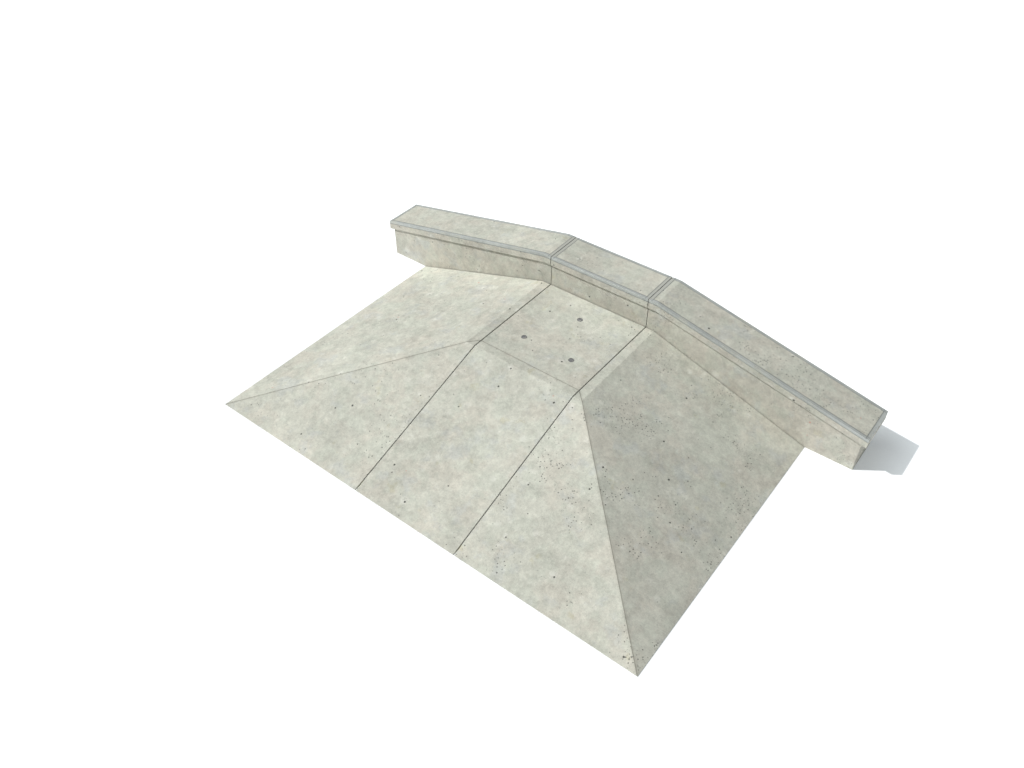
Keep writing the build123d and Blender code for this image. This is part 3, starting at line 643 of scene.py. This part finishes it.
def rusty(name, metal_colour, rust_amount, metallic):
    """Steel under rust. The rust amount moves the threshold of its blotches."""
    material, tree, shader = new_material(name)
    place = object_place(tree)
    rust = use(tree, stains, Vector=place, Size=0.05, Level=0.75 - 0.5 * rust_amount, Edge=0.15)["Stain"]
    grain = use(tree, clouds, Vector=place, Size=0.03, Roughness=0.7)["Tone"]
    rust_colour = mix(tree, maths(tree, "ADD", grain, 0.5), RUST_DARK, RUST_LIGHT)
    tree.links.new(mix(tree, rust, metal_colour, rust_colour), shader.inputs["Base Color"])
    bare = maths(tree, "SUBTRACT", 1.0, rust)
    tree.links.new(maths(tree, "MULTIPLY", bare, metallic), shader.inputs["Metallic"])
    tree.links.new(maths(tree, "MULTIPLY_ADD", rust, 0.45, 0.42), shader.inputs["Roughness"])
    relief(tree, shader, maths(tree, "ADD", grain, rust), 0.0006)
    return material


def foam():
    """Pressed polystyrene: pale beads with fine grooves between them, the grooves painted darker as painted
    shade.
    """
    material, tree, shader = new_material("foam_beads")
    place = object_place(tree)
    beads = put(tree, "ShaderNodeTexVoronoi", {"Vector": place, "Scale": 230.0}, feature="DISTANCE_TO_EDGE")
    swell = fade(tree, beads.outputs["Distance"], 0.0, 0.14)
    # The grooves between the beads are painted darker: painted shade.
    shade = mix(tree, swell, (0.56, 0.58, 0.58, 1.0), (0.83, 0.85, 0.84, 1.0))
    tree.links.new(shade, shader.inputs["Base Color"])
    tree.links.new(maths(tree, "MULTIPLY_ADD", swell, -0.15, 0.85), shader.inputs["Roughness"])
    relief(tree, shader, swell, 0.0008)
    return material


def moulded(name, dark, light, dust_colour, dust_level):
    """Moulded plastic or rubber with a fine grain, scuffs and settled dust."""
    material, tree, shader = new_material(name)
    place = object_place(tree)
    grain = put(tree, "ShaderNodeTexNoise", {"Vector": place, "Scale": 900.0, "Detail": 2.0}).outputs[0]
    scuffs = use(tree, clouds, Vector=place, Size=0.02, Roughness=0.75)["Tone"]
    dust = use(tree, stains, Vector=place, Size=0.03, Level=dust_level, Edge=0.20)["Stain"]
    colour = mix(tree, maths(tree, "ADD", scuffs, 0.5), dark, light)
    colour = mix(tree, maths(tree, "MULTIPLY", dust, 0.5), colour, dust_colour)
    tree.links.new(colour, shader.inputs["Base Color"])
    tree.links.new(maths(tree, "MULTIPLY_ADD", grain, 0.20, 0.55), shader.inputs["Roughness"])
    relief(tree, shader, maths(tree, "ADD", grain, scuffs), 0.0003)
    return material


DUST = (0.520, 0.500, 0.440, 1.0)
cast_in = rusty("cast_in_steel_finish", (0.50, 0.51, 0.52, 1.0), 0.30, 0.9)
bar_rust = rusty("bar_rust", (0.16, 0.15, 0.15, 1.0), 0.85, 0.6)
plug_plastic = moulded("plug_plastic", (0.150, 0.153, 0.155, 1.0), (0.230, 0.232, 0.230, 1.0), DUST, 0.48)
sealant = moulded("joint_sealant", (0.250, 0.250, 0.240, 1.0), (0.350, 0.347, 0.330, 1.0), DUST, 0.47)
sleeve_plastic = moulded("sleeve_plastic", (0.30, 0.31, 0.32, 1.0), (0.40, 0.41, 0.42, 1.0), DUST, 0.60)
names = sorted(frame["nodes"])
dress([n for n in names if "mesh" in n or "cage" in n], bar_rust)
dress([n for n in names if "studs" in n or "sockets" in n or "joint_dowels" in n], cast_in)
dress([n for n in names if "void_cores" in n], foam())
dress([n for n in names if "dowel_sleeves" in n], sleeve_plastic)
dress([n for n in names if "plug" in n], plug_plastic)
dress([n for n in names if "seal" in n], sealant)
print("cast-in finishes: rust, steel, foam, plastic, sealant")

# %% [markdown]
# ## Surfaces from numbers
# The sealant and the welds are a closed outline carried along a path. Each path point has two
# directions of its own, sideways and outward, and the outline is drawn in them, so one function
# makes both. The plugs are an outline turned round an axis. All are grids of points, and the same
# function makes a mesh of any grid.

# %% Swept surfaces
def swept(path, sideways, outward, outline):
    """Points of a swept skin: path + sideways * across + outward * height, for every outline pair."""
    across, height = outline[..., 0, None], outline[..., 1, None]
    return path[:, None, :] + sideways[:, None, :] * across + outward[:, None, :] * height


MERGE_DISTANCE = 1e-7
SHARP_ANGLE = math.radians(40)


def skin_faces(rows, columns, closed):
    """Four-sided faces between the rows of a grid whose columns join up; closed joins the rows too."""
    row = np.arange(rows if closed else rows - 1)[:, None]
    column = np.arange(columns)[None, :]
    after, beside = (row + 1) % rows, (column + 1) % columns
    corners = [row * columns + column, row * columns + beside,
               after * columns + beside, after * columns + column]
    return np.stack([c + 0 * row for c in corners], axis=-1).reshape(-1, 4)


def repeated(direction, count):
    """The same direction for every point of a path."""
    return np.tile(direction, (count, 1))


def piece_from(name, grids, closed, material, body, replaced=()):
    """Make one object from swept grids: cap open ends, close poles, smooth it and let it ride on a body."""
    points, faces, start = [], [], 0
    for grid in grids:
        rows, columns = grid.shape[:2]
        points.append(grid.reshape(-1, 3))
        faces += (skin_faces(rows, columns, closed) + start).tolist()
        if not closed:
            last = start + (rows - 1) * columns
            faces += [list(range(start, start + columns))[::-1], list(range(last, last + columns))]
        start += rows * columns
    mesh = bpy.data.meshes.new(name)
    mesh.from_pydata(np.concatenate(points).tolist(), [], faces)
    mesh.validate()
    work = bmesh.new()
    work.from_mesh(mesh)
    bmesh.ops.remove_doubles(work, verts=work.verts, dist=MERGE_DISTANCE)
    loose = [edge for edge in work.edges if not edge.link_faces]
    bmesh.ops.delete(work, geom=loose, context="EDGES")
    bmesh.ops.recalc_face_normals(work, faces=work.faces)
    work.to_mesh(mesh)
    work.free()
    mesh.shade_smooth()
    mesh.set_sharp_from_angle(angle=SHARP_ANGLE)
    mesh.materials.append(material)
    made = bpy.data.objects.new(name, mesh)
    bpy.context.scene.collection.objects.link(made)
    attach(made, body)
    if replaced:
        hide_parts(*replaced)
    print(name, len(mesh.polygons), "faces")
    return made


def spaced(corners, step):
    """Points every step or so along straight runs between corners, the corners kept."""
    corners = np.array(corners, float)
    runs = []
    for a, b in zip(corners[:-1], corners[1:]):
        count = max(1, int(np.linalg.norm(b - a) / step))
        runs.append(a + (b - a) * np.linspace(0, 1, count, endpoint=False)[:, None])
    return np.concatenate(runs + [corners[-1:]])


POINTS_PER_WAVE = 60


def slow_wave(count, reach, seed):
    """A smooth random line: the sum of five sines with seeded phases."""
    draw = np.random.default_rng(seed)
    along = np.linspace(0, 1, count)[:, None]
    turns = np.arange(1, 6) * count / POINTS_PER_WAVE
    return reach * np.sin(2 * np.pi * (turns * along + draw.random(5))).sum(axis=1) / 3


# %% [markdown]
# ## Tooled sealant
# A joint between two blocks is packed and then run with sealant, which is drawn with a wet thumb:
# it climbs a little up both faces and is hollow in the middle, and its depth wanders. The packed
# model has a plain strip there, and this piece stands for it. The hollow is half a cosine. On the
# top of the ledge it is filled higher, so that little water stands in it.

# %% Sealant in the joints
SEALANT_DEPTH = 0.020
SEALANT_STEP = 0.012
WALL_FILL = 0.0015
TOP_FILL = 0.0030
HOLLOW = 0.0022
WANDER = 0.0007


def sealant_outline(count, half_width, top, seed):
    """For each path point, a hollow top between two edges, then the square bottom."""
    sides = np.linspace(-1, 1, 9)
    hollow = top - HOLLOW * np.cos(sides * np.pi / 2)
    outline = np.zeros((count, 11, 2))
    outline[:, :9, 0] = sides * half_width
    outline[:, :9, 1] = hollow + slow_wave(count, WANDER, seed)[:, None] * np.cos(sides * np.pi / 2)
    outline[:, 9:, 0] = [half_width, -half_width]
    outline[:, 9:, 1] = top - SEALANT_DEPTH
    return outline


def along_bank(x, y):
    """Height of the banks and deck at a place in plan."""
    return min(deck_z, NOSE + rise * (y - bank_low.y), NOSE + rise * (side_high.x - abs(x)))


recess = deck_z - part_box("bank_joint_seal_right")[1].z
seal_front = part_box("bank_joint_seal_right")[0].y
seal_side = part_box("back_joint_seal_right")[1].x
back_y = (bank_high.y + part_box("back_joint_seal_centre")[1].y) / 2
half_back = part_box("back_joint_seal_centre")[1].y - back_y
for seed, (side, way) in enumerate({"left": -1, "right": 1}.items()):
    x = way * joint_x
    run = spaced([(x, y, along_bank(x, y)) for y in (seal_front, crease_y, bank_high.y)], SEALANT_STEP)
    outline = sealant_outline(len(run), half_joint, WALL_FILL - recess, seed)
    skin = swept(run, repeated([1.0, 0, 0], len(run)), repeated([0, 0, 1.0], len(run)), outline)
    piece_from(f"bank_sealant_{side}", [skin], False, sealant, BLOCKS,
               [f"bank_joint_seal_{side}"])
back_runs = {
    "left": (-seal_side, -kink_x, -joint_x - half_joint),
    "centre": (-joint_x + half_joint, joint_x - half_joint),
    "right": (joint_x + half_joint, kink_x, seal_side)}
for seed, (part, stops) in enumerate(back_runs.items()):
    run = spaced([(x, back_y, along_bank(x, bank_high.y)) for x in stops], SEALANT_STEP)
    outline = sealant_outline(len(run), half_back, WALL_FILL - recess, seed + 10)
    skin = swept(run, repeated([0, 1.0, 0], len(run)), repeated([0, 0, 1.0], len(run)), outline)
    piece_from(f"back_sealant_{part}", [skin], False, sealant, BLOCKS,
               [f"back_joint_seal_{part}"])

# %% [markdown]
# The ledge joints are sealed all the way round. The path is the ledge's own outline, and at each
# corner the outward direction is the mitre of the two faces that meet there, so the strip turns
# the corner without a gap and goes on under the cap.

# %% Sealant round the ledge
cap_under = ledge_high.z - CAP_THICKNESS
wall_front, wall_back = back_y + half_back, 2 * middle_y - back_y - half_back
section = [
    (wall_front, ledge_low.z), (wall_front, cap_under),
    (ledge_low.y, cap_under), (ledge_low.y, ledge_high.z),
    (ledge_high.y, ledge_high.z), (ledge_high.y, cap_under),
    (wall_back, cap_under), (wall_back, ledge_low.z)]
section = np.array(section)
ahead = np.roll(section, -1, axis=0) - section
ahead /= np.linalg.norm(ahead, axis=1)[:, None]
normal = np.stack([-ahead[:, 1], ahead[:, 0]], axis=1)
before = np.roll(normal, 1, axis=0)
mitre = (normal + before) / (1 + (normal * before).sum(axis=1))[:, None]
loop, out = [], []
for i in range(len(section)):
    j = (i + 1) % len(section)
    steps = max(2, int(np.linalg.norm(section[j] - section[i]) / SEALANT_STEP))
    part = np.linspace(0, 1, steps, endpoint=False)[:, None]
    loop.append(section[i] + (section[j] - section[i]) * part)
    out.append(np.where(part == 0, mitre[i], normal[i]))
loop, out = np.concatenate(loop), np.concatenate(out)
for seed, (side, way) in enumerate({"left": -1, "right": 1}.items()):
    run = np.column_stack([np.full(len(loop), way * joint_x), loop])
    outward = np.column_stack([np.zeros(len(out)), out])
    top = np.where(out[:, 1:] > 0.5, -TOP_FILL, WALL_FILL - recess)
    outline = sealant_outline(len(run), half_joint, top, seed + 20)
    skin = swept(run, repeated([1.0, 0, 0], len(run)), outward, outline)
    piece_from(f"ledge_sealant_{side}", [skin], True, sealant, BLOCKS,
               [f"ledge_joint_seal_{side}"])

# %% [markdown]
# ## Dressed welds
# The angles of one ledge block are cut to a mitre and welded at the corners. The welder grinds the
# bead down, so only a low, slightly rippled ridge is left along the mitre and down the corner. It
# is a flat ellipse carried along the seam and half sunk in the steel, and a sine along it gives the
# ripples.

# %% Welds at the corners of the steel
WELD_HALF_WIDTH = 0.0034
WELD_HEIGHT = 0.0003
RIPPLE_PITCH = 0.0024
CORNER_INSET = 0.0008
CORNER_HALF_WIDTH = 0.0012
CORNER_GAP = 0.002
CORNER_DROP = 0.003
WELD_POINTS = 48
WELD_SIDES = 12
RIPPLE_SHARE = 0.22
SUNK_SHARE = 0.8


def weld(start, end, across, outward, half_width):
    """A low bead from start to end: an ellipse outline whose height ripples and fades at both ends."""
    along = np.linspace(0, 1, WELD_POINTS)
    path = np.array(start) + (np.array(end) - np.array(start)) * along[:, None]
    length = np.linalg.norm(np.array(end) - np.array(start))
    ripple = 1 + RIPPLE_SHARE * np.sin(2 * np.pi * along * length / RIPPLE_PITCH)
    ends = np.sqrt(np.clip(1 - (2 * along - 1) ** 6, 0, 1)) + 0.02
    angle = np.linspace(0, 2 * np.pi, WELD_SIDES, endpoint=False)
    half = np.where(np.sin(angle) > 0, 1.0, SUNK_SHARE)
    outline = np.stack([
        half_width * np.cos(angle) * ends[:, None],
        WELD_HEIGHT * half * np.sin(angle) * (ripple * ends)[:, None]], axis=-1)
    return swept(path, repeated(across, WELD_POINTS), repeated(outward, WELD_POINTS), outline)


def ledge_top(x):
    """Height of the ledge's top at a place along it."""
    return ledge_high.z - fall * max(0.0, abs(x) - kink_x)


def corner_welds(x_start, x_end):
    """The four mitre seams on top of one ledge block and the four seams down its corners."""
    beads = []
    for x, along_x in ((x_start, 1), (x_end, -1)):
        for y, along_y in ((ledge_low.y, 1), (ledge_high.y, -1)):
            inner_x, inner_y = x + along_x * ANGLE_LEG, y + along_y * ANGLE_LEG
            start_x = x + along_x * CORNER_GAP
            start = (start_x, y + along_y * CORNER_GAP, ledge_top(start_x))
            end = (inner_x, inner_y, ledge_top(inner_x))
            slope = Vector((inner_x - x, inner_y - y, ledge_top(inner_x) - ledge_top(x))).normalized()
            level = Vector((-along_y, along_x, 0)).normalized()
            rise_way = level.cross(slope)
            rise_way = rise_way if rise_way.z > 0 else -rise_way
            beads.append(weld(start, end, level, rise_way, WELD_HALF_WIDTH))
            corner = (x + along_x * CORNER_INSET, y + along_y * CORNER_INSET)
            out_way = Vector((-along_x, -along_y, 0)).normalized()
            start = (*corner, ledge_top(x) - CORNER_DROP)
            end = (*corner, ledge_top(x) - ANGLE_LEG)
            beads.append(weld(start, end, level, out_way, CORNER_HALF_WIDTH))
    return beads


weld_steel = galvanised("zinc_weld_dressing", (3.0, 8.0, 1.0), 1.0, 0.0)
gap_end = joint_x + half_joint
block_ends = {
    "left": (-end_high.x, -gap_end), "centre": (-bank_high.x, bank_high.x), "right": (gap_end, end_high.x)}
for part, (x_start, x_end) in block_ends.items():
    piece_from(f"corner_welds_{part}", corner_welds(x_start, x_end), False, weld_steel, BLOCKS)

# %% [markdown]
# ## Deck plugs
# Three moulded plugs close the lifting sockets in the deck. A real one has a rounded rim, a few
# fine rings to give grip, and a slot to lever it out. The surface is a disc in polar coordinates:
# its height is a function of the radius, less the slot, and the outline goes on down the side and
# across the bottom. Its first and last points lie on the axis, and each closes to a single point.

# %% Plug caps
PLUG_ROUND = 0.0016
SLOT_HALF_LENGTH, SLOT_HALF_WIDTH, SLOT_DEPTH = 0.013, 0.002, 0.0025
SLOT_EDGE = 0.0006
RING_PITCH, RING_DEPTH, RINGS_FROM = 0.004, 0.00035, 0.016
FOOT_BEVEL = 0.001
TURN_STEPS, TOP_STEPS = 120, 44


def plug_surface(low, high):
    """Grid over turn and outline: rings are a cosine of the radius, and the slot is a soft-edged box."""
    radius, depth = (high.x - low.x) / 2, high.z - low.z
    turn = np.linspace(0, 2 * np.pi, TURN_STEPS, endpoint=False)[:, None]
    flat = np.linspace(0, radius - PLUG_ROUND, TOP_STEPS)
    bend = np.linspace(0, np.pi / 2, 7)[1:]
    rim = radius - PLUG_ROUND * (1 - np.sin(bend))
    out = np.concatenate([flat, rim, [radius, radius - FOOT_BEVEL, 0]])
    rings = RING_DEPTH * (1 - np.cos(flat * 2 * np.pi / RING_PITCH)) * (flat > RINGS_FROM)
    down = np.concatenate([rings, PLUG_ROUND * (1 - np.cos(bend)), [depth - FOOT_BEVEL, depth, depth]])
    x, y = out * np.cos(turn), out * np.sin(turn)
    along_slot = np.clip((SLOT_HALF_LENGTH - abs(x)) / SLOT_EDGE, 0, 1)
    inside = along_slot * np.clip((SLOT_HALF_WIDTH - abs(y)) / SLOT_EDGE, 0, 1)
    top = np.arange(len(out)) < len(flat)
    z = high.z - np.maximum(down, SLOT_DEPTH * inside * top)
    return np.stack([(low.x + high.x) / 2 + x, (low.y + high.y) / 2 + y, z], axis=-1)


for joint in frame["joints"]:
    node_name = frame["record"]["behaviour"]["bodies"][joint["child"]][0]
    side = node_name.rsplit("_", 1)[1]
    cap = plug_surface(*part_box(node_name))
    piece_from(f"plug_cap_{side}", [cap], True, plug_plastic, joint["child"], [node_name])

# %% [markdown]
# ## Floor and sky
# A plain pale floor, large enough for every view. It has a little light of its own, so that it stays white
# where the lamp reaches it and pale grey-blue in the shadow. That glow grows with the distance from the
# piece's outline, so the floor close to the piece is darker: a painted shade that stands for the sky the
# piece hides from the ground there.

# %% Floor and sky
FLOOR_RADIUS = 60.0
FLOOR_DROP = 0.0005
GLOW_FROM, GLOW_TO = -0.10, 0.62
GLOW_NEAR, GLOW_MORE = 0.24, 0.40
floor_material, tree, shader = new_material("floor_paper")
shader.inputs["Base Color"].default_value = (0.80, 0.80, 0.80, 1.0)
shader.inputs["Roughness"].default_value = 0.9
shader.inputs["Emission Color"].default_value = (0.90, 0.97, 1.0, 1.0)
floor_place = put(tree, "ShaderNodeSeparateXYZ", {0: object_place(tree)}).outputs
squares = []
for axis, limit in (("X", cad_high.x), ("Y", cad_high.y)):
    past = maths(tree, "SUBTRACT", maths(tree, "ABSOLUTE", floor_place[axis]), limit)
    past = maths(tree, "MAXIMUM", past, 0.0)
    squares.append(maths(tree, "MULTIPLY", past, past))
from_outline = maths(tree, "SQRT", maths(tree, "ADD", *squares))
# Painted shade: the floor's glow is weaker close to the piece and grows with the distance from its outline.
painted_open_sky = fade(tree, from_outline, GLOW_FROM, GLOW_TO)
glow = maths(tree, "MULTIPLY_ADD", painted_open_sky, GLOW_MORE, GLOW_NEAR)
tree.links.new(glow, shader.inputs["Emission Strength"])
turns = np.linspace(0, 2 * np.pi, 96, endpoint=False)
rim = np.stack([FLOOR_RADIUS * np.cos(turns), FLOOR_RADIUS * np.sin(turns), np.zeros_like(turns)], axis=1)
rim[:, 2] = cad_low.z - FLOOR_DROP
floor_mesh = bpy.data.meshes.new("floor")
floor_mesh.from_pydata(rim.tolist(), [], [list(range(len(rim)))])
floor = bpy.data.objects.new("floor", floor_mesh)
floor_mesh.materials.append(floor_material)
bpy.context.scene.collection.objects.link(floor)

world = bpy.data.worlds.new("sky")
world.use_nodes = True
bpy.context.scene.world = world
sky_tree = world.node_tree
seen = put(sky_tree, "ShaderNodeLightPath").outputs["Is Camera Ray"]
sky = sky_tree.nodes["Background"]
sky_tree.links.new(mix(sky_tree, seen, SKY_TINT, (1.0, 1.0, 1.0, 1.0)), sky.inputs["Color"])
shown = maths(sky_tree, "MULTIPLY_ADD", seen, SKY_SHOWN - SKY_STRENGTH, SKY_STRENGTH)
sky_tree.links.new(shown, sky.inputs["Strength"])
print("floor of radius", FLOOR_RADIUS, "m and sky ready")
